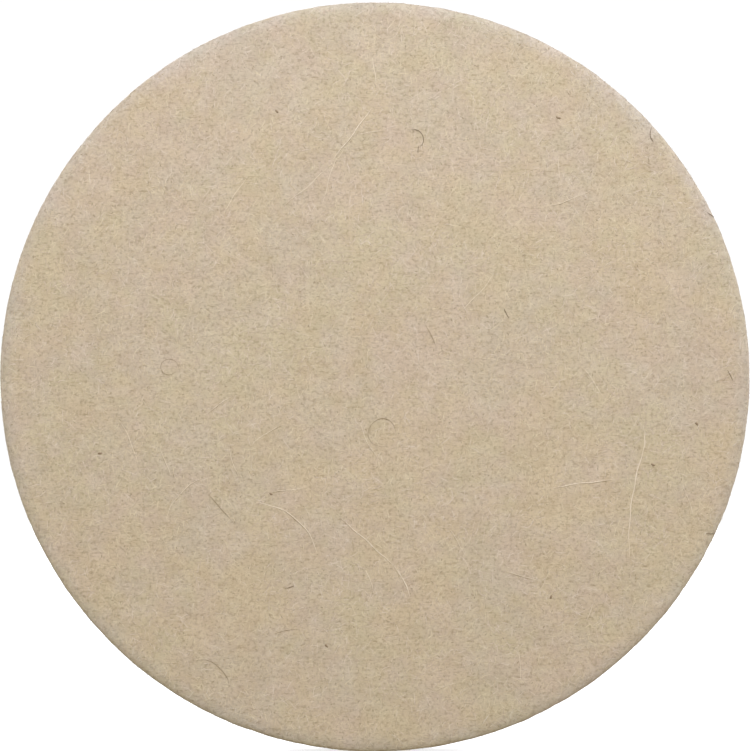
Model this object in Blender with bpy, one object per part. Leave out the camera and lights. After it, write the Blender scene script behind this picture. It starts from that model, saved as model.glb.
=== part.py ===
"""Felt polishing disc with a peel-and-stick back, standing upright on its spin axis.

One disc of pressed wool felt carries a full-face film of pressure-sensitive adhesive on its
back. A release liner covers the film. The liner is slit across the middle, so each half
peels away from the slit towards the rim.

Frame: the origin is the centre of the adhesive's bonding face and the spin axis is +Y.
The polishing face looks along -Y, the liner along +Y, and +Z is up. Units are metres.
"""

import math

import bmesh
import bpy

# Driving dimensions
DISC_DIAMETER = 0.1524  # six inches, the nominal size of the plate it is stuck to
FELT_THICKNESS = 0.0080
FILM_THICKNESS = 0.0003
LINER_THICKNESS = 0.00025
CONTACT_GAP = 0.0003  # clearance kept between faces that touch on the real disc
SLIT_WIDTH = 0.0006  # between the two halves of the liner
FACE_ROLL = 0.0008  # softened edge round the polishing face
BACK_ROLL = 0.0003  # sharper edge where the felt was cut against its backing
BACKING_INSET = 0.0002  # film and liner stop this far inside the felt's rim
RIM_SEGMENTS = 192
ROLL_SEGMENTS = 3

# Worked out from the driving dimensions
FELT_RADIUS = DISC_DIAMETER / 2
BACKING_RADIUS = FELT_RADIUS - BACKING_INSET
FILM_FRONT = -FILM_THICKNESS
FELT_BACK = FILM_FRONT - CONTACT_GAP
FELT_FRONT = FELT_BACK - FELT_THICKNESS
LINER_FRONT = CONTACT_GAP
LINER_BACK = LINER_FRONT + LINER_THICKNESS

# Base colour (linear), roughness
FELT_LOOK = ((0.56, 0.46, 0.33), 0.95)
FILM_LOOK = ((0.72, 0.62, 0.38), 0.25)
LINER_LOOK = ((0.82, 0.80, 0.74), 0.45)


def clear_scene():
    for obj in list(bpy.data.objects):
        bpy.data.objects.remove(obj)


def material(name, look):
    colour, roughness = look
    made = bpy.data.materials.new(name)
    made.use_nodes = True
    shader = made.node_tree.nodes["Principled BSDF"]
    shader.inputs["Base Color"].default_value = (*colour, 1.0)
    shader.inputs["Roughness"].default_value = roughness
    shader.inputs["Metallic"].default_value = 0.0
    return made


def arc(radius, start, end, steps):
    """Points (x, z) along an arc about the spin axis, both ends included."""
    angles = [start + (end - start) * i / steps for i in range(steps + 1)]
    return [(radius * math.cos(a), radius * math.sin(a)) for a in angles]


def slab(name, outline, front, back, look, rolls=()):
    """A flat piece: an outline in x and z, from y = front to y = back.

    rolls lists (y, offset) pairs: the outline's edges at that y are rounded by that offset.
    """
    bm = bmesh.new()
    face = bm.faces.new([bm.verts.new((x, front, z)) for x, z in outline])
    grown = bmesh.ops.extrude_face_region(bm, geom=[face])["geom"]
    moved = [v for v in grown if isinstance(v, bmesh.types.BMVert)]
    bmesh.ops.translate(bm, vec=(0.0, back - front, 0.0), verts=moved)
    for y, offset in rolls:
        edges = [e for e in bm.edges if all(abs(v.co.y - y) < 1e-6 for v in e.verts)]
        bmesh.ops.bevel(
            bm, geom=edges, offset=offset, segments=ROLL_SEGMENTS, profile=0.5, affect="EDGES"
        )
    bmesh.ops.recalc_face_normals(bm, faces=bm.faces)
    mesh = bpy.data.meshes.new(name)
    bm.to_mesh(mesh)
    bm.free()
    mesh.materials.append(material(name, look))
    mesh.shade_smooth()
    mesh.set_sharp_from_angle(angle=math.radians(40))
    obj = bpy.data.objects.new(name, mesh)
    bpy.context.scene.collection.objects.link(obj)
    return obj


def felt_disc():
    outline = arc(FELT_RADIUS, 0.0, 2 * math.pi, RIM_SEGMENTS)[:-1]
    rolls = ((FELT_FRONT, FACE_ROLL), (FELT_BACK, BACK_ROLL))
    return slab("felt_disc", outline, FELT_FRONT, FELT_BACK, FELT_LOOK, rolls)


def adhesive_film():
    outline = arc(BACKING_RADIUS, 0.0, 2 * math.pi, RIM_SEGMENTS)[:-1]
    return slab("adhesive_film", outline, FILM_FRONT, 0.0, FILM_LOOK)


def release_liner(name, side):
    """Half of the liner: side is -1 for the half at -X and 1 for the half at +X.

    Its origin is on the line about which it peels, the upright tangent at its rim.
    """
    corner = math.acos(SLIT_WIDTH / 2 / BACKING_RADIUS)
    rim = arc(BACKING_RADIUS, -corner, corner, RIM_SEGMENTS // 2)
    outline = [(side * (x - BACKING_RADIUS), z) for x, z in rim]
    half = slab(name, outline, 0.0, LINER_THICKNESS, LINER_LOOK)
    half.location = (side * BACKING_RADIUS, LINER_FRONT, 0.0)
    return half


clear_scene()
felt_disc()
adhesive_film()
release_liner("release_liner_left", -1)
release_liner("release_liner_right", 1)
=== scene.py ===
"""Looks for the felt polishing disc: felt, adhesive film and release liner.

The disc stands upright on its spin axis (+Y) with the polishing face towards -Y. The felt
is a finely lumpy body with real strands of wool laid over it. Lengths are in metres unless
a name says MM; wool is laid out in millimetres from the disc's centre.
"""

import math

import bpy
import numpy as np
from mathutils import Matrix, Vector, noise


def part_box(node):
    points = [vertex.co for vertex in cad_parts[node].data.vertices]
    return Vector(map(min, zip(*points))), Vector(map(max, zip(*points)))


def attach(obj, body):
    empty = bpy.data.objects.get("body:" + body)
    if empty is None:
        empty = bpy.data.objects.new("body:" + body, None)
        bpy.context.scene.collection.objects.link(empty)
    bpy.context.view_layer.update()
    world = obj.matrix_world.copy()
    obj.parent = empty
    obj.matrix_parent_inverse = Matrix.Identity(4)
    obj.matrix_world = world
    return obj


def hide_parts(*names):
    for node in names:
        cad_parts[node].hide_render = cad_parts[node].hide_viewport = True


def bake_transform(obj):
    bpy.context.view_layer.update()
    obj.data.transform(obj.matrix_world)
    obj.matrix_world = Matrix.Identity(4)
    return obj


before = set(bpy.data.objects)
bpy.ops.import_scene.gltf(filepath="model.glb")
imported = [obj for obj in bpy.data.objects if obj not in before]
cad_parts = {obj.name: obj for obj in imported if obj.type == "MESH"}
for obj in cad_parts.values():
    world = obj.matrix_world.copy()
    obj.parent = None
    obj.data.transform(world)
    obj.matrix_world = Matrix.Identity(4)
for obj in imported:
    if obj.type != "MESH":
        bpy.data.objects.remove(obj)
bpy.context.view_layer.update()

MM = 0.001
felt_low, felt_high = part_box("felt_disc")
film_low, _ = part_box("adhesive_film")

RADIUS = felt_high.z
FRONT = felt_low.y
BACK = film_low.y

# Felt body
GRID_CELLS = 260
# The face drops off softly towards its edge: from this far in, and by this much at the rim
ROLL_WIDTH = 2.8 * MM
ROLL_DEPTH = 0.9 * MM
BACK_ROLL = 0.35 * MM
ROLL_ROWS = 8
BACK_ROWS = 3
WALL_ROWS = 14

# A strand is pressed this much flatter than it is wide
FLATTENED = 0.35
# It starts at this share of its width, and widens at this rate to its full width
TIP_SHARE = 0.35
TAPER_SLOPE = 2.5
# It weaves up and down in the mat through an angle between these, in radians
WEAVE_TURNS = (3, 8)
# A hair of the fuzz rises from the felt along a curve of this power
FUZZ_CURVE = 1.4
FUZZ_RADIUS_MM = (0.014, 0.022)
# Strands of the face start up to this far past its rim, so that some of them turn down over it
FACE_OVERRUN = 0.6 * MM
# On the wall a strand keeps this share of its reach across the layers
ACROSS_THE_LAYERS = 0.35

# The wool's tints; it is a blend of two fleeces, one a little yellower and one a little pinker
TINTS = {"cream": (0.80, 0.694, 0.535), "straw": (0.655, 0.530, 0.377), "tan": (0.56, 0.444, 0.302)}
TINT_SHARES = (0.34, 0.36, 0.30)
GOLDEN = (1.0, 1.004, 0.91)
ROSY = (1.0, 0.996, 1.06)

# The fleeces change over about this many millimetres, and are blended by this much chance
FLEECE_PATCH = 20.0
FLEECE_BLENDING = 0.25

# The wool is tinted greyer and bluer in a band (mm) at the rim and on the wall: painted cool light, for the
# bluish light of the surroundings on the rolled edge
COOL_RIM_LIGHT_BAND = 4.0
PAINTED_COOL_RIM_LIGHT = (0.985, 1.03, 1.13)

# More strands lie along the way that the wool was carded than across it
CARDING = 0.12
CARDING_HEADING = math.radians(68)

# How far a loose strand's heading swings to each side, in radians, and how far it dips
STRAY_WAVE = 0.09
STRAY_DIP_MM = 0.05

rng = np.random.default_rng(20)


# ---------------------------------------------------------------- studio

FACE_WIDTH_IN_FRAME = 0.9988
FACE_OFF_CENTRE = (0.0008, 0.0020)
LENS_MM = 135.0
SENSOR_MM = 36.0

AMBIENT = 0.345
AMBIENT_COLOUR = (1.0, 0.884, 0.61, 1.0)
BACKDROP = 1.05
BACKDROP_COLOUR = (1.0, 1.0, 1.0, 1.0)

KEY_SIZE = 0.42
FILL_SIZE = 0.6

FLOOR_GAP = 0.2 * MM
FLOOR_RADIUS = 0.9
# The floor's own glow grows between these distances (mm) from the point under the disc
FLOOR_GLOW_REACH = (110.0, 300.0)
FLOOR_GLOW = (0.68, 0.80)


def studio_camera():
    """Square on to the polishing face, which nearly fills the frame."""
    data = bpy.data.cameras.new("camera")
    data.lens = LENS_MM
    data.sensor_width = SENSOR_MM
    data.shift_x, data.shift_y = FACE_OFF_CENTRE
    camera = bpy.data.objects.new("camera", data)
    distance = 2 * RADIUS / FACE_WIDTH_IN_FRAME * LENS_MM / SENSOR_MM
    camera.location = (0.0, FRONT - distance, 0.0)
    camera.rotation_euler = (math.radians(90), 0.0, 0.0)
    data.clip_end = 20.0
    bpy.context.scene.collection.objects.link(camera)
    bpy.context.scene.camera = camera


def soft_light(name, place, aim, size, watts, colour):
    data = bpy.data.lights.new(name, "AREA")
    data.shape = "DISK"
    data.size = size
    data.energy = watts
    data.color = colour
    lamp = bpy.data.objects.new(name, data)
    lamp.location = place
    lamp.rotation_euler = (Vector(aim) - Vector(place)).to_track_quat("-Z", "Y").to_euler()
    bpy.context.scene.collection.objects.link(lamp)


def studio_world():
    """Even light all round, with a white backdrop that only the camera sees."""
    world = bpy.data.worlds.new("studio")
    world.use_nodes = True
    nodes, links = world.node_tree.nodes, world.node_tree.links
    shade = nodes["Background"]
    path = nodes.new("ShaderNodeLightPath")
    colour = nodes.new("ShaderNodeMix")
    colour.data_type = "RGBA"
    colour.inputs[6].default_value = AMBIENT_COLOUR
    colour.inputs[7].default_value = BACKDROP_COLOUR
    links.new(path.outputs["Is Camera Ray"], colour.inputs["Factor"])
    links.new(colour.outputs[2], shade.inputs["Color"])
    strength = nodes.new("ShaderNodeMapRange")
    strength.inputs["To Min"].default_value = AMBIENT
    strength.inputs["To Max"].default_value = BACKDROP
    links.new(path.outputs["Is Camera Ray"], strength.inputs["Value"])
    links.new(strength.outputs["Result"], shade.inputs["Strength"])
    bpy.context.scene.world = world


def studio_floor():
    """A pale floor with a faint shadow near the disc, bright enough elsewhere to read as white."""
    floor = disc_mesh("floor", FLOOR_RADIUS, 96)
    floor.location = (0.0, 0.0, -RADIUS - FLOOR_GAP)
    tree = Tree("floor")
    tree.shader.inputs["Base Color"].default_value = (0.93, 0.925, 0.915, 1.0)
    tree.shader.inputs["Roughness"].default_value = 0.9
    tree.shader.inputs["Specular IOR Level"].default_value = 0.2
    tree.shader.inputs["Emission Color"].default_value = (0.93, 0.98, 1.08, 1.0)
    glow = tree.ramp(tree.length(tree.place_mm()), *FLOOR_GLOW_REACH, *FLOOR_GLOW)
    tree.put(tree.shader.inputs["Emission Strength"], glow)
    floor.data.materials.append(tree.material)
    floor.visible_diffuse = False


def disc_mesh(name, radius, sides):
    angles = np.linspace(0.0, 2 * math.pi, sides, endpoint=False)
    points = [(radius * math.cos(a), radius * math.sin(a), 0.0) for a in angles]
    mesh = bpy.data.meshes.new(name)
    mesh.from_pydata(points, [], [tuple(range(sides))])
    obj = bpy.data.objects.new(name, mesh)
    bpy.context.scene.collection.objects.link(obj)
    return obj


def studio():
    """The key light is above and in front; the others show the cut wall and the back."""
    studio_camera()
    studio_world()
    studio_floor()
    aim = (0.0, 0.0, 0.0)
    soft_light("key", (0.06, -0.50, 0.47), (0.0, 0.0, 0.02), KEY_SIZE, 3.7, (1.0, 1.043, 1.254))
    soft_light("back", (-0.3, 0.8, 0.6), aim, FILL_SIZE, 7.0, (1.0, 1.02, 1.14))
    for side, watts in ((-1, 2.6), (1, 3.6)):
        soft_light("rim", (side * 0.9, 0.28, 0.12), aim, FILL_SIZE, watts, (1.0, 1.01, 1.07))
    bpy.context.scene.view_settings.view_transform = "Standard"


# ---------------------------------------------------------------- node helpers


class Tree:
    """A short way to write a material's nodes."""

    def __init__(self, name):
        self.material = bpy.data.materials.new(name)
        self.material.use_nodes = True
        self.nodes = self.material.node_tree.nodes
        self.links = self.material.node_tree.links
        self.shader = self.nodes["Principled BSDF"]

    def put(self, socket, value):
        if isinstance(value, bpy.types.NodeSocket):
            self.links.new(value, socket)
        else:
            socket.default_value = value

    def place_mm(self):
        coords = self.nodes.new("ShaderNodeTexCoord")
        scale = self.nodes.new("ShaderNodeVectorMath")
        scale.operation = "SCALE"
        scale.inputs["Scale"].default_value = 1 / MM
        self.links.new(coords.outputs["Object"], scale.inputs[0])
        return scale.outputs[0]

    def part(self, vector, axis):
        node = self.nodes.new("ShaderNodeSeparateXYZ")
        self.links.new(vector, node.inputs[0])
        return node.outputs[axis]

    def math(self, operation, a, b=0.0):
        node = self.nodes.new("ShaderNodeMath")
        node.operation = operation
        self.put(node.inputs[0], a)
        self.put(node.inputs[1], b)
        return node.outputs[0]

    def ramp(self, value, low, high, to_low=0.0, to_high=1.0):
        node = self.nodes.new("ShaderNodeMapRange")
        node.interpolation_type = "SMOOTHSTEP"
        self.put(node.inputs["Value"], value)
        node.inputs["From Min"].default_value = low
        node.inputs["From Max"].default_value = high
        node.inputs["To Min"].default_value = to_low
        node.inputs["To Max"].default_value = to_high
        return node.outputs["Result"]

    def mapped(self, place, turn=(0.0, 0.0, 0.0), scale=(1.0, 1.0, 1.0), shift=(0.0, 0.0, 0.0)):
        node = self.nodes.new("ShaderNodeMapping")
        self.links.new(place, node.inputs["Vector"])
        node.inputs["Location"].default_value = shift
        node.inputs["Rotation"].default_value = turn
        node.inputs["Scale"].default_value = scale
        return node.outputs[0]

    def noise(self, place, scale, detail=0.0, roughness=0.5, distortion=0.0):
        node = self.nodes.new("ShaderNodeTexNoise")
        self.links.new(place, node.inputs["Vector"])
        node.inputs["Scale"].default_value = scale
        node.inputs["Detail"].default_value = detail
        node.inputs["Roughness"].default_value = roughness
        node.inputs["Distortion"].default_value = distortion
        return node.outputs["Fac"]

    def mix(self, factor, a, b):
        node = self.nodes.new("ShaderNodeMix")
        node.data_type = "RGBA"
        self.put(node.inputs["Factor"], factor)
        self.put(node.inputs[6], a)
        self.put(node.inputs[7], b)
        return node.outputs[2]

    def tinted(self, colour, factor, tint_low, tint_high):
        """The colour times a tint that goes from tint_low to tint_high with the factor."""
        node = self.nodes.new("ShaderNodeMix")
        node.data_type = "RGBA"
        node.blend_type = "MULTIPLY"
        node.inputs["Factor"].default_value = 1.0
        self.put(node.inputs[6], colour)
        self.put(node.inputs[7], self.mix(factor, tint_low, tint_high))
        return node.outputs[2]

    def length(self, vector):
        node = self.nodes.new("ShaderNodeVectorMath")
        node.operation = "LENGTH"
        self.links.new(vector, node.inputs[0])
        return node.outputs["Value"]

    def bump(self, height, distance, strength):
        node = self.nodes.new("ShaderNodeBump")
        node.inputs["Distance"].default_value = distance
        node.inputs["Strength"].default_value = strength
        self.links.new(height, node.inputs["Height"])
        return node.outputs[0]


# ---------------------------------------------------------------- materials

FELT_MID = (0.575, 0.461, 0.314, 1.0)
FELT_PALE = (0.820, 0.702, 0.512, 1.0)
# The dark tint: the wool's darker grain and clouds, and also the painted shade in its pits
FELT_DARK_AND_PIT_SHADE = (0.300, 0.217, 0.122, 1.0)
NET_LAYERS = 7
LAYERED_DARKENING = 0.20

# Where a noise between 0 and 1 turns from one tint to the other, and the tints on each side
PATCH_EDGES = (0.36, 0.64)
YELLOWER_OR_BLUER = ((1.0, 1.002, 0.93, 1.0), (1.0, 0.998, 1.035, 1.0))
COOLER_OR_WARMER = ((0.98, 1.003, 1.0, 1.0), (1.02, 0.997, 1.0, 1.0))


def strand_lines(tree, place, turn_degrees, shift, along, across, width):
    """Thin bent lines along one direction of the face; along and across are in millimetres."""
    laid = tree.mapped(
        place,
        turn=(0.0, math.radians(turn_degrees), 0.0),
        scale=(1 / along, 1 / across, 1 / across),
        shift=(shift, shift * 0.37, -shift * 0.61),
    )
    field = tree.noise(laid, 1.0, detail=1.0, roughness=0.45, distortion=0.35)
    off_line = tree.math("ABSOLUTE", tree.math("SUBTRACT", field, 0.5))
    return tree.ramp(off_line, 0.0, width, 1.0, 0.0)


def strand_net(tree, place):
    """Pale lines that cross in every direction of the face."""
    net = None
    for layer in range(NET_LAYERS):
        turn = 180.0 * layer / NET_LAYERS + 9.0
        lines = strand_lines(tree, place, turn, 17.3 * layer, along=3.2, across=0.62, width=0.075)
        net = lines if net is None else tree.math("MAXIMUM", net, lines)
    return net


def wool_colour(tree, place, net, shaded_pit):
    """Tan wool under the pale net, with painted shade in the pits, and darker grain and clouds."""
    grain = tree.noise(place, 4.2, detail=1.0)
    mottle = tree.noise(place, 0.22, detail=3.0, roughness=0.55)
    clouds = tree.noise(place, 0.045, detail=2.0)
    pale = tree.math("MULTIPLY", net, tree.ramp(mottle, 0.3, 0.7, 0.45, 0.70))
    colour = tree.mix(pale, FELT_MID, FELT_PALE)
    # Painted shade: the pits are darkened where the shadow between the fibres falls
    colour = tree.mix(tree.math("MULTIPLY", shaded_pit, 0.41), colour, FELT_DARK_AND_PIT_SHADE)
    colour = tree.mix(tree.ramp(grain, 0.25, 0.75, 0.12, 0.0), colour, FELT_DARK_AND_PIT_SHADE)
    return tree.mix(tree.ramp(clouds, 0.3, 0.7, 0.0, 0.03), colour, FELT_DARK_AND_PIT_SHADE)


def patchy(tree, place, colour, tints):
    """Soft patches of two tints, as large as the patches of the fleeces."""
    patches = tree.noise(place, 1 / FLEECE_PATCH, detail=3.0, roughness=0.9)
    return tree.tinted(colour, tree.ramp(patches, *PATCH_EDGES), *tints)


def painted_cool_light_at_rim(tree, place, colour):
    # Painted cool light: the felt is tinted greyer and bluer towards the rim and on the wall
    off_axis = tree.length(tree.mapped(place, scale=(1.0, 0.0, 1.0)))
    at_rim = tree.ramp(off_axis, RADIUS / MM - COOL_RIM_LIGHT_BAND, RADIUS / MM)
    return tree.tinted(colour, at_rim, (1.0, 1.0, 1.0, 1.0), (*PAINTED_COOL_RIM_LIGHT, 1.0))


def layered_on_wall(tree, place, colour):
    """Dark lines on the cut wall, where the edges of the wool's layers show."""
    layering = tree.noise(tree.mapped(place, scale=(0.07, 1.9, 0.07)), 1.0, detail=1.0)
    wall_edge = (FRONT + 0.5 * ROLL_DEPTH) / MM
    wall_proper = (FRONT + 1.3 * ROLL_DEPTH) / MM
    on_wall = tree.ramp(tree.part(place, "Y"), wall_edge, wall_proper)
    dark = tree.ramp(layering, 0.35, 0.65, 0.0, LAYERED_DARKENING)
    return tree.mix(tree.math("MULTIPLY", on_wall, dark), colour, FELT_DARK_AND_PIT_SHADE)


def felt_material():
    """Matted wool: a net of pale strands over tan wool, with small pits between, bumped in and painted
    darker as shade.
    """
    tree = Tree("felt")
    place = tree.place_mm()
    net = strand_net(tree, place)
    # A mask of the pits: they are bumped in, and their colour is darkened as painted shade
    shaded_pit = tree.ramp(tree.noise(place, 1.5, detail=1.0, roughness=0.5), 0.22, 0.54, 1.0, 0.0)
    colour = wool_colour(tree, place, net, shaded_pit)
    colour = patchy(tree, place, colour, YELLOWER_OR_BLUER)
    colour = painted_cool_light_at_rim(tree, place, colour)
    elsewhere = tree.mapped(place, shift=(31.0, 57.0, 83.0))
    colour = patchy(tree, elsewhere, colour, COOLER_OR_WARMER)
    colour = layered_on_wall(tree, place, colour)
    tree.put(tree.shader.inputs["Base Color"], colour)
    tree.put(tree.shader.inputs["Roughness"], tree.ramp(net, 0.0, 1.0, 0.97, 0.88))
    tree.shader.inputs["Specular IOR Level"].default_value = 0.25
    tree.shader.inputs["Sheen Weight"].default_value = 0.25
    tree.shader.inputs["Sheen Roughness"].default_value = 0.6
    tree.shader.inputs["Sheen Tint"].default_value = (1.0, 0.97, 0.92, 1.0)
    height = tree.math("SUBTRACT", net, tree.math("MULTIPLY", shaded_pit, 1.3))
    tree.put(tree.shader.inputs["Normal"], tree.bump(height, 0.016 * MM, 0.8))
    return tree.material


def strand_material(name, colour):
    tree = Tree(name)
    tree.shader.inputs["Base Color"].default_value = (*colour, 1.0)
    tree.shader.inputs["Roughness"].default_value = 0.7
    tree.shader.inputs["Specular IOR Level"].default_value = 0.3
    return tree.material


def fleece(name, shift):
    """One strand material for each of the wool's tints, all shifted the same way."""
    return [
        strand_material(f"{name}_{word}", tuple(c * s for c, s in zip(tint, shift)))
        for word, tint in TINTS.items()
    ]


def film_material():
    """Tacky clear adhesive over the felt's back: amber, glossy, with ripples, bubbles and lint."""
    tree = Tree("adhesive")
    place = tree.place_mm()
    ripple = tree.noise(place, 0.30, detail=3.0, roughness=0.6)
    wool_below = tree.noise(place, 1.3, detail=2.0, roughness=0.6)
    bubbles = tree.ramp(tree.noise(place, 0.9, detail=1.0), 0.66, 0.72)
    lint = tree.math(
        "MAXIMUM",
        strand_lines(tree, place, 28.0, 5.1, along=5.0, across=0.9, width=0.018),
        strand_lines(tree, place, 112.0, 23.7, along=5.0, across=0.9, width=0.018),
    )
    colour = tree.mix(tree.ramp(wool_below, 0.3, 0.7), (0.55, 0.43, 0.26, 1), (0.68, 0.56, 0.37, 1))
    colour = tree.mix(tree.math("MULTIPLY", bubbles, 0.25), colour, (0.85, 0.78, 0.62, 1))
    colour = tree.mix(tree.math("MULTIPLY", lint, 0.35), colour, (0.88, 0.80, 0.64, 1))
    tree.put(tree.shader.inputs["Base Color"], colour)
    tree.put(tree.shader.inputs["Roughness"], tree.ramp(ripple, 0.3, 0.7, 0.16, 0.32))
    height = tree.math("ADD", tree.math("MULTIPLY", ripple, 2.0), tree.math("MULTIPLY", wool_below, 0.4))
    tree.put(tree.shader.inputs["Normal"], tree.bump(height, 0.10 * MM, 0.7))
    return tree.material


def liner_material():
    """Bleached, silicone-coated paper: faint fibre cloud, satin surface."""
    tree = Tree("liner")
    place = tree.place_mm()
    formation = tree.noise(place, 0.8, detail=4.0, roughness=0.65)
    grain = tree.noise(tree.mapped(place, scale=(1.0, 1.0, 0.35)), 3.0, detail=2.0)
    colour = tree.mix(tree.ramp(formation, 0.3, 0.7), (0.825, 0.803, 0.752, 1), (0.86, 0.842, 0.796, 1))
    tree.put(tree.shader.inputs["Base Color"], colour)
    tree.put(tree.shader.inputs["Roughness"], tree.ramp(grain, 0.3, 0.7, 0.36, 0.50))
    tree.put(tree.shader.inputs["Normal"], tree.bump(grain, 0.02 * MM, 0.5))
    return tree.material


# ---------------------------------------------------------------- felt body

# The roll is a quarter of an ellipse, with a table of the way over it against the angle
ROLL_ANGLES = np.linspace(0.0, math.pi / 2, 181)
ROLL_STEPS = np.hypot(ROLL_WIDTH * np.diff(np.sin(ROLL_ANGLES)), ROLL_DEPTH * np.diff(np.cos(ROLL_ANGLES)))
ROLL_WAYS = np.concatenate([[0.0], np.cumsum(ROLL_STEPS)])
FLAT_REACH = RADIUS - ROLL_WIDTH
ROLL_REACH = ROLL_WAYS[-1]
WALL_START = FRONT + ROLL_DEPTH
WALL_END = BACK - BACK_ROLL
WALL_REACH = FLAT_REACH + ROLL_REACH + WALL_END - WALL_START


# Sizes and heights of the felt's lumps and of the layers in its cut wall, in millimetres
WIDE, WIDE_HEIGHT = 14, 0.10
MIDDLE, MIDDLE_HEIGHT = 3.4, 0.06
FINE, FINE_HEIGHT = 1.25, 0.075
LAYER_LENGTH, LAYER_THICKNESS, LAYER_HEIGHT = 3.2, 0.5, 0.09
LUMPS_LOST_ON_WALL = 0.5


def lumps(x, y, z):
    """How far the felt's skin stands proud at a point given in millimetres, in millimetres."""
    wide = noise.noise(Vector((x / WIDE, y / WIDE, z / WIDE)))
    middle = noise.noise(Vector((x / MIDDLE + 31, y / MIDDLE, z / MIDDLE)))
    fine = noise.noise(Vector((x / FINE, y / FINE + 17, z / FINE)))
    return WIDE_HEIGHT * wide + MIDDLE_HEIGHT * middle + FINE_HEIGHT * fine


def layers(x, y, z):
    """The wall's cut edge shows the wool's layers, which lie parallel to the face."""
    return LAYER_HEIGHT * noise.noise(Vector((x / LAYER_LENGTH, y / LAYER_THICKNESS, z / LAYER_LENGTH)))


def skin(reach, turn):
    """Points and outward directions on the felt, as arrays with a last axis of three.

    reach is the way from the centre over the face, round the rolled edge and on across
    the wall, and turn is the angle about the spin axis.
    """
    angle = np.interp(reach - FLAT_REACH, ROLL_WAYS, ROLL_ANGLES)
    radius = np.minimum(reach, FLAT_REACH) + ROLL_WIDTH * np.sin(angle)
    past = np.maximum(reach - FLAT_REACH - ROLL_REACH, 0.0)
    y = np.minimum(FRONT + ROLL_DEPTH * (1 - np.cos(angle)) + past, WALL_END)
    lean = np.arctan2(ROLL_DEPTH * np.sin(angle), ROLL_WIDTH * np.cos(angle))
    c, s = np.cos(turn), np.sin(turn)
    point = np.stack([radius * c, y, radius * s], axis=-1)
    out = np.stack([np.sin(lean) * c, -np.cos(lean), np.sin(lean) * s], axis=-1)
    return point, out


def raised(point, out, lift_mm=0.0):
    """The same points on the lumpy skin, with lift_mm of room under them."""
    flat = point.reshape(-1, 3)
    cut = np.hypot(out[..., 0], out[..., 2]).ravel()
    rise = [
        lumps(x, y, z) * (1 - LUMPS_LOST_ON_WALL * c) + (layers(x, y, z) * c if c > 0.01 else 0.0)
        for (x, y, z), c in zip((flat / MM).tolist(), cut.tolist())
    ]
    return point + out * ((np.array(rise).reshape(point.shape[:-1]) + lift_mm) * MM)[..., None]


def concentric(a, b):
    """Maps points of the square -1..1 to the unit disc, keeping areas."""
    wide = np.abs(a) > np.abs(b)
    small = np.where(wide, b, a)
    reach = np.where(wide, a, b)
    share = np.divide(small, reach, out=np.zeros_like(reach), where=reach != 0)
    turn = np.where(wide, math.pi / 4 * share, math.pi / 2 - math.pi / 4 * share)
    return reach * np.cos(turn), reach * np.sin(turn)


def felt_body():
    """The face is a fine square grid bent to a disc; rows of points carry its border on."""
    n = GRID_CELLS
    steps = np.linspace(-1.0, 1.0, n + 1)
    x, z = concentric(*np.meshgrid(steps, steps, indexing="ij"))
    point, out = skin(FLAT_REACH * np.hypot(x, z), np.arctan2(z, x))
    verts = raised(point, out).reshape(-1, 3).tolist()
    index = np.arange((n + 1) ** 2).reshape(n + 1, n + 1)
    corners = [index[:-1, :-1], index[1:, :-1], index[1:, 1:], index[:-1, 1:]]
    quads = np.stack(corners, axis=-1).reshape(-1, 4).tolist()

    # The grid's border, once round: right side up, top leftwards, left down, bottom rightwards.
    ring = np.concatenate([index[n, :n], index[n:0:-1, n], index[0, n:0:-1], index[:n, 0]]).tolist()
    count = len(ring)
    angles = -math.pi / 4 + 2 * math.pi * np.arange(count) / count

    bends = np.linspace(0, ROLL_REACH, ROLL_ROWS + 1)[1:]
    across = np.linspace(0, WALL_END - WALL_START, WALL_ROWS + 1)[1:]
    rows = [skin(np.full(count, FLAT_REACH + bend), angles) for bend in bends]
    rows += [skin(np.full(count, FLAT_REACH + ROLL_REACH + way), angles) for way in across]
    for k in range(1, BACK_ROWS + 1):
        rows.append(back_roll(math.pi / 2 * k / BACK_ROWS, angles))
    for point, out in rows:
        row = list(range(len(verts), len(verts) + count))
        verts += raised(point, out).tolist()
        quads += [(ring[k], row[k], row[(k + 1) % count], ring[(k + 1) % count]) for k in range(count)]
        ring = row
    hub = len(verts)
    verts.append((0.0, BACK, 0.0))
    quads += [(ring[k], hub, ring[(k + 1) % count]) for k in range(count)]
    mesh = bpy.data.meshes.new("felt_body")
    mesh.from_pydata(verts, [], quads)
    mesh.shade_smooth()
    mesh.validate()
    body = bpy.data.objects.new("felt_body", mesh)
    bpy.context.scene.collection.objects.link(body)
    return body


def back_roll(lean, angles):
    """One row of the small roll that turns the wall in towards the adhesive."""
    c, s = np.cos(angles), np.sin(angles)
    radius = RADIUS - BACK_ROLL * (1 - math.cos(lean))
    y = np.full_like(c, WALL_END + BACK_ROLL * math.sin(lean))
    point = np.stack([radius * c, y, radius * s], axis=-1)
    out = np.stack([math.cos(lean) * c, np.full_like(c, math.sin(lean)), math.cos(lean) * s], axis=-1)
    return point, out


# ---------------------------------------------------------------- strands


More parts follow.
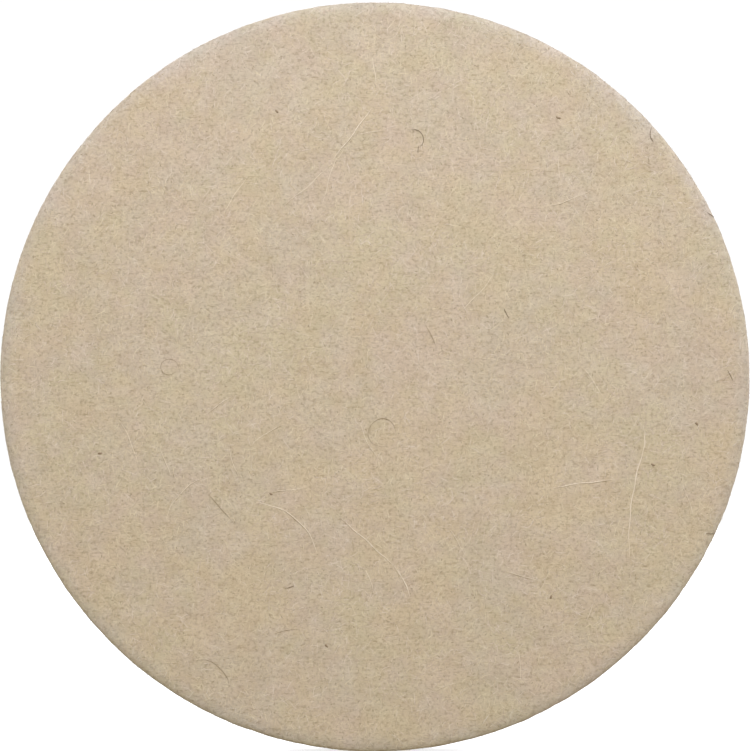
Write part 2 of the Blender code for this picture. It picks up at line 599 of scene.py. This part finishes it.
def tubes(name, paths, radii, outward, materials, shades, sides=3):
    """One object of thin closed tubes, pressed flat.

    paths is (strands, points, 3) in metres, radii one per strand, outward the direction
    away from the felt at each point, and shades the material index of each strand.
    """
    count, points, _ = paths.shape
    tangent = np.gradient(paths, axis=1)
    tangent /= np.linalg.norm(tangent, axis=2, keepdims=True)
    side = np.cross(tangent, outward)
    side /= np.linalg.norm(side, axis=2, keepdims=True)
    up = np.cross(side, tangent)
    from_end = np.minimum(np.linspace(0, 1, points), np.linspace(1, 0, points))
    taper = np.minimum(1.0, TIP_SHARE + TAPER_SLOPE * from_end)
    reach = radii[:, None] * taper[None, :]
    corners = []
    for corner in range(sides):
        a = math.pi / 2 + 2 * math.pi * corner / sides
        corners.append(paths + reach[..., None] * (math.cos(a) * side + FLATTENED * math.sin(a) * up))
    verts = np.stack(corners, axis=2).reshape(-1, 3)
    start = np.arange(count) * points * sides
    end = start + (points - 1) * sides
    first = start[:, None, None] + (np.arange(points - 1) * sides)[None, :, None]
    a = first + np.arange(sides)
    b = first + (np.arange(sides) + 1) % sides
    walls = np.stack([a, b, b + sides, a + sides], axis=-1).reshape(-1, 4)
    round_the_end = np.arange(sides)
    caps = np.concatenate([start[:, None] + round_the_end[::-1], end[:, None] + round_the_end])
    mesh = bpy.data.meshes.new(name)
    mesh.vertices.add(len(verts))
    mesh.vertices.foreach_set("co", verts.ravel())
    loops = np.concatenate([walls.ravel(), caps.ravel()])
    starts = np.concatenate([np.arange(len(walls)) * 4, walls.size + np.arange(len(caps)) * sides])
    mesh.loops.add(len(loops))
    mesh.loops.foreach_set("vertex_index", loops.astype(np.int32))
    mesh.polygons.add(len(starts))
    mesh.polygons.foreach_set("loop_start", starts.astype(np.int32))
    per_wall = np.repeat(shades, (points - 1) * sides)
    mesh.polygons.foreach_set("material_index", np.concatenate([per_wall, shades, shades]).astype(np.int32))
    mesh.update(calc_edges=True)
    mesh.validate()
    mesh.shade_smooth()
    mesh.set_sharp_from_angle(angle=math.radians(80))
    for made in materials:
        mesh.materials.append(made)
    obj = bpy.data.objects.new(name, mesh)
    bpy.context.scene.collection.objects.link(obj)
    return obj


def wander(count, points, length, bend, wiggle):
    """Random bent paths in a plane, in millimetres; length is the shortest and longest."""
    step = rng.uniform(*length, count) / (points - 1)
    heading = rng.random(count) * 2 * math.pi
    heading -= CARDING * np.sin(2 * (heading - CARDING_HEADING))
    curve = rng.normal(0.0, bend, count)
    drift = np.cumsum(rng.normal(0.0, wiggle, (count, points)), axis=1)
    turns = heading[:, None] + curve[:, None] * np.linspace(-0.5, 0.5, points) + drift
    return np.cumsum(np.cos(turns) * step[:, None], axis=1), np.cumsum(np.sin(turns) * step[:, None], axis=1)


def weave(count, points, wave):
    """How each strand rises above the mat and dips into it along its way, in millimetres."""
    phase = rng.random(count) * 2 * math.pi
    turns = rng.uniform(*WEAVE_TURNS, count)
    return wave * np.sin(phase[:, None] + np.linspace(0, 1, points) * turns[:, None])


def face_strands(name, count, mix, length, radius, lift, wave, points=5):
    """Random bent strands matted into the polishing face and over its rolled edge."""
    x, z = wander(count, points, length, bend=0.9, wiggle=0.22)
    r = (RADIUS + FACE_OVERRUN) / MM * np.sqrt(rng.random(count))
    spot = rng.random(count) * 2 * math.pi
    x, z = x + (r * np.cos(spot))[:, None], z + (r * np.sin(spot))[:, None]
    point, out = skin(np.hypot(x, z) * MM, np.arctan2(z, x))
    paths = raised(point, out, lift + weave(count, points, wave))
    return tubes(name, paths, rng.uniform(*radius, count) * MM, out, *choose(mix, x[:, 0], z[:, 0]))


def wall_strands(name, count, mix, length, radius, lift, wave, points=5):
    """Strands on the cut wall: they lie in the wool's layers, so most run round the rim."""
    along, across = wander(count, points, length, bend=0.5, wiggle=0.18)
    turn = rng.random(count)[:, None] * 2 * math.pi + along * MM / RADIUS
    start = rng.uniform(FLAT_REACH + 0.8 * ROLL_REACH, WALL_REACH, count)
    point, out = skin(start[:, None] + across * ACROSS_THE_LAYERS * MM, turn)
    paths = raised(point, out, lift + weave(count, points, wave))
    picks = choose(mix, point[:, 0, 0] / MM, point[:, 0, 2] / MM)
    return tubes(name, paths, rng.uniform(*radius, count) * MM, out, *picks)


def fuzz(name, count, mix, low, high, length, rise, points=4):
    """Fine hairs that stand away from the felt between two reaches of its skin (metres)."""
    along, across = wander(count, points, length, bend=0.8, wiggle=0.15)
    reach = np.sqrt(rng.uniform(low**2, high**2, count))
    turn = rng.random(count)[:, None] * 2 * math.pi
    x = reach[:, None] * np.cos(turn) + along * MM
    z = reach[:, None] * np.sin(turn) + across * MM
    point, out = skin(np.hypot(x, z), np.arctan2(z, x))
    lift = rng.uniform(*rise, count)[:, None] * np.linspace(0, 1, points) ** FUZZ_CURVE
    paths = raised(point, out, lift)
    picks = choose(mix, x[:, 0] / MM, z[:, 0] / MM)
    return tubes(name, paths, rng.uniform(*FUZZ_RADIUS_MM, count) * MM, out, *picks)


def choose(mix, x, z):
    """The materials of a mix and a pick of them for each strand, which starts at x, z (mm).

    The tint is random. The fleece that it comes from changes softly from place to place, and
    towards the rim more and more strands have the rim's greyer tints, which are painted cool light.
    """
    golden, rosy, edge, shares = mix
    tint = rng.choice(len(shares), len(x), p=shares)
    field = [
        noise.fractal(Vector((a, b, 0.0)) / FLEECE_PATCH, 0.1, 2.0, 4)
        for a, b in zip(x.tolist(), z.tolist())
    ]
    from_rosy = np.array(field) + rng.normal(0.0, FLEECE_BLENDING, len(x)) > 0
    near_rim = 1 - (RADIUS / MM - np.hypot(x, z)) / COOL_RIM_LIGHT_BAND
    group = np.where(rng.random(len(x)) < near_rim**2 * (near_rim > 0), 2, from_rosy)
    return golden + rosy + edge, tint + len(shares) * group


def arc(x, z, heading, length, turn, points):
    """An evenly bent, slightly wavy path from x, z (mm); heading and turn are in degrees."""
    angles = np.radians(heading + np.linspace(0.0, turn, points))
    angles = angles + STRAY_WAVE * np.sin(np.linspace(0.0, length, points) + rng.uniform(0, 2 * math.pi))
    step = length / (points - 1)
    ways_x = np.concatenate([[0.0], np.cumsum(np.cos(angles[:-1]))]) * step
    ways_z = np.concatenate([[0.0], np.cumsum(np.sin(angles[:-1]))]) * step
    return x + ways_x, z + ways_z


def stray_strands(name, arcs, material, radius, lift, points=24):
    """Loose strands that lie on top of the mat, each one an even arc."""
    flat = np.array([arc(*one, points) for one in arcs])
    point, out = skin(np.hypot(flat[:, 0], flat[:, 1]) * MM, np.arctan2(flat[:, 1], flat[:, 0]))
    paths = raised(point, out, lift + weave(len(arcs), points, STRAY_DIP_MM))
    one_shade = np.zeros(len(arcs), int)
    return tubes(name, paths, np.full(len(arcs), radius * MM), out, [material], one_shade, sides=6)


# Loose strands: x and z of one end, start heading, length and total turn (mm and degrees).
WHITE_STRAYS = [
    (-0.7, 54.7, -123, 13.0, -8),
    (-24.1, -25.5, -5, 17.2, -72),
    (-7.0, -28.6, -40, 14.5, -4),
    (3.6, -37.9, -50, 7.8, -26),
    (36.2, -22.5, 10, 12.4, -6),
    (55.1, -12.9, -109, 24.0, 22),
    (54.7, -11.5, -80, 3.0, -25),
]
CREAM_STRAYS = [
    (-8.0, 44.1, -109, 9.0, 7),
    (-8.6, 43.6, -133, 14.0, -12),
    (4.6, -38.8, -58, 6.0, -20),
    (-25.9, 40.7, -126, 8.8, 5),
    (-28.6, -3.7, -148, 7.2, 4),
    (-18.4, -9.6, -162, 8.0, 30),
    (-29.8, -13.3, -80, 7.5, 15),
    (-21.3, -23.5, 8, 6.8, 0),
    (-34.5, -20.4, -158, 12.0, 52),
    (-52.0, -8.8, -58, 9.8, -20),
    (-43.7, -14.5, -63, 5.9, -12),
    (41.9, 2.0, -44, 7.4, -22),
    (26.2, -39.6, -8, 8.0, -16),
    (29.2, -55.2, -88, 6.5, 4),
    (-3.3, -8.4, -76, 9.8, 25),
    (16.4, 12.6, 38, 10.9, 18),
    (14.8, -30.4, -58, 6.8, 0),
    (43.9, 38.0, -150, 10.0, -20),
    (-3.7, 49.2, 9, 6.0, -5),
    (-58.1, 42.5, -84, 3.5, 0),
    (-2.1, -38.7, -65, 5.5, -14),
    (63.2, -23.7, -71, 4.3, 0),
    (44.3, -46.1, -112, 3.7, 0),
    (12.3, -63.8, 26, 4.6, -8),
    (37.4, 45.1, -88, 5.0, 0),
    (-0.5, 65.1, -83, 6.2, 0),
]
BROWN_STRAYS = [
    (7.3, 50.2, 20, 5.4, -170),
    (8.9, 47.0, -100, 1.5, 12),
    (-18.2, -43.0, 15, 1.8, 0),
    (26.2, 14.0, -65, 2.3, 0),
    (56.4, 51.0, -115, 3.6, 65),
    (67.5, 33.5, -50, 2.5, 60),
    (71.6, 1.4, -60, 2.5, 0),
    (67.2, -31.8, 0, 2.2, 0),
]
# Faint brown hairs: two rings, two open curls and two that are nearly straight
CURLS = [
    (-36.6, -57.7, 10, 10.0, -100),
    (-39.9, 1.8, 90, 10.2, 345),
    (4.3, -11.7, 90, 14.5, 290),
    (-20.3, -52.2, 30, 5.2, -45),
    (-33.9, -23.9, -43, 8.0, -12),
    (10.3, 10.5, -62, 5.0, 0),
]
# Specks of vegetable matter: x, z and length in millimetres; each is bent by this many degrees
SPECK_TURN = 20
SPECKS = [
    (36.8, 52.9, 1.0),
    (56.1, -17.6, 0.9),
    (35.6, -45.1, 0.9),
    (-21.5, -23.5, 0.8),
    (-10.1, -54.2, 0.9),
    (-20.2, 54.3, 0.8),
    (-55.3, -15.5, 1.0),
    (65.7, -9.8, 0.8),
]


# ---------------------------------------------------------------- release liner

LINER_COLUMNS = 48
LINER_ROWS = 60
# The slit edge has sprung up by this much, over this much of the paper
SLIT_LIFT = 0.35 * MM
SLIT_LIFT_REACH = 9.0 * MM
# Elsewhere the paper is this uneven
COCKLE = 0.03 * MM


def liner_half(name, side, low, high):
    """Half a disc of paper: it lies on the adhesive, and its slit edge has sprung up a little."""
    slit = min(abs(low.x), abs(high.x))
    rim = high.z
    # Even steps of angle from the slit to the rim keep the round edge round.
    turn = np.linspace(math.acos(slit / rim), 0.03, LINER_COLUMNS)
    x = rim * np.cos(turn)
    z = (rim * np.sin(turn))[:, None] * np.sin(np.linspace(-math.pi / 2, math.pi / 2, LINER_ROWS))
    x = np.broadcast_to(x[:, None], z.shape)
    spring = np.clip(1 - (x - slit) / SLIT_LIFT_REACH, 0, 1) ** 2
    waves = 0.6 + 0.4 * np.sin(z / MM * 0.11 + side) * np.cos(z / MM * 0.043)
    cockles = 1 + np.sin(x / MM * 0.31) * np.sin(z / MM * 0.23 + side)
    lift = SLIT_LIFT * spring * waves + COCKLE * cockles
    under = np.stack([side * x, low.y + lift, z], axis=-1)
    over = under + np.array([0.0, high.y - low.y, 0.0])
    verts = np.concatenate([under.reshape(-1, 3), over.reshape(-1, 3)]).tolist()
    index = np.arange(LINER_COLUMNS * LINER_ROWS).reshape(LINER_COLUMNS, LINER_ROWS)
    cells = np.stack([index[:-1, :-1], index[1:, :-1], index[1:, 1:], index[:-1, 1:]], axis=-1)
    cells = cells.reshape(-1, 4)
    rest = index.size
    quads = cells.tolist() + (cells[:, ::-1] + rest).tolist()
    ring = np.concatenate([index[:-1, 0], index[-1, :-1], index[:0:-1, -1], index[0, :0:-1]])
    after = np.roll(ring, -1)
    quads += np.stack([ring + rest, after + rest, after, ring], axis=-1).tolist()
    if side > 0:
        quads = [quad[::-1] for quad in quads]
    mesh = bpy.data.meshes.new(name)
    mesh.from_pydata(verts, [], quads)
    mesh.validate()
    mesh.shade_smooth()
    mesh.set_sharp_from_angle(angle=math.radians(40))
    half = bpy.data.objects.new(name, mesh)
    bpy.context.scene.collection.objects.link(half)
    return half


# ---------------------------------------------------------------- the object


def build_felt():
    body = felt_body()
    body.data.materials.append(felt_material())
    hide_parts("felt_disc")
    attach(body, "disc")


def laid_in_wool(strands):
    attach(strands, "disc")


def lay_mat():
    """The wool of the face and the cut wall, with dark flecks of painted shade in it and fuzz on it.

    A mix is the materials of the two fleeces and of the rim's wool, and the share of each tint.
    """
    # The edge fleece is painted cool light: the rim's strands are tinted greyer and bluer
    wool = (fleece("golden", GOLDEN), fleece("rosy", ROSY), fleece("edge", PAINTED_COOL_RIM_LIGHT), TINT_SHARES)
    # The dark flecks are painted shade: short dark strands that stand in for the shadow in small pits
    # between the fibres
    shade = [strand_material("painted_pit_shade", (0.44, 0.347, 0.225))]
    pit_shade_flecks = (shade, shade, shade, (1.0,))
    for index in range(8):
        laid_in_wool(face_strands(
            f"matted_wool_{index + 1}", 5000, wool,
            length=(1.0, 3.6), radius=(0.030, 0.065), lift=-0.004, wave=0.018,
        ))
    for index in range(2):
        laid_in_wool(wall_strands(
            f"rim_wool_{index + 1}", 4500, wool,
            length=(1.2, 4.0), radius=(0.025, 0.055), lift=-0.010, wave=0.050,
        ))
    laid_in_wool(face_strands(
        "pit_shade_flecks", 1900, pit_shade_flecks, length=(0.35, 0.75), radius=(0.13, 0.24), lift=-0.02, wave=0.0, points=4,
    ))
    laid_in_wool(fuzz("face_fuzz", 5000, wool, 0.0, RADIUS, length=(0.8, 2.4), rise=(0.10, 0.35)))
    laid_in_wool(fuzz("rim_fuzz", 5000, wool, FLAT_REACH, WALL_REACH, length=(0.6, 1.8), rise=(0.10, 0.55)))


def lay_strays():
    """The loose strands and specks that lie on the mat."""
    white = strand_material("wool_white", (0.90, 0.785, 0.605))
    cream = strand_material("wool_cream", (0.86, 0.75, 0.57))
    brown = strand_material("wool_brown", (0.22, 0.16, 0.10))
    kemp = strand_material("wool_kemp", (0.36, 0.27, 0.17))
    laid_in_wool(stray_strands("white_strays", WHITE_STRAYS, white, radius=0.108, lift=0.055))
    laid_in_wool(stray_strands("cream_strays", CREAM_STRAYS, cream, radius=0.074, lift=0.045))
    laid_in_wool(stray_strands("brown_strays", BROWN_STRAYS, brown, radius=0.066, lift=0.085))
    laid_in_wool(stray_strands("curled_strays", CURLS, kemp, radius=0.042, lift=0.080))
    specks = [(x, z, rng.uniform(0, 360), length, SPECK_TURN) for x, z, length in SPECKS]
    laid_in_wool(stray_strands("specks", specks, kemp, radius=0.24, lift=0.01, points=6))


def coat_film():
    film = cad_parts["adhesive_film"]
    film.data.materials.clear()
    film.data.materials.append(film_material())


def build_liner():
    """The two halves of the paper, each in place of its part, which is hidden."""
    paper = liner_material()
    for word, side in (("left", -1), ("right", 1)):
        node = f"release_liner_{word}"
        half = liner_half(f"liner_{word}", side, *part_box(node))
        half.data.materials.append(paper)
        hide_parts(node)
        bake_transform(half)


studio()
build_felt()
lay_mat()
lay_strays()
coat_film()
build_liner()
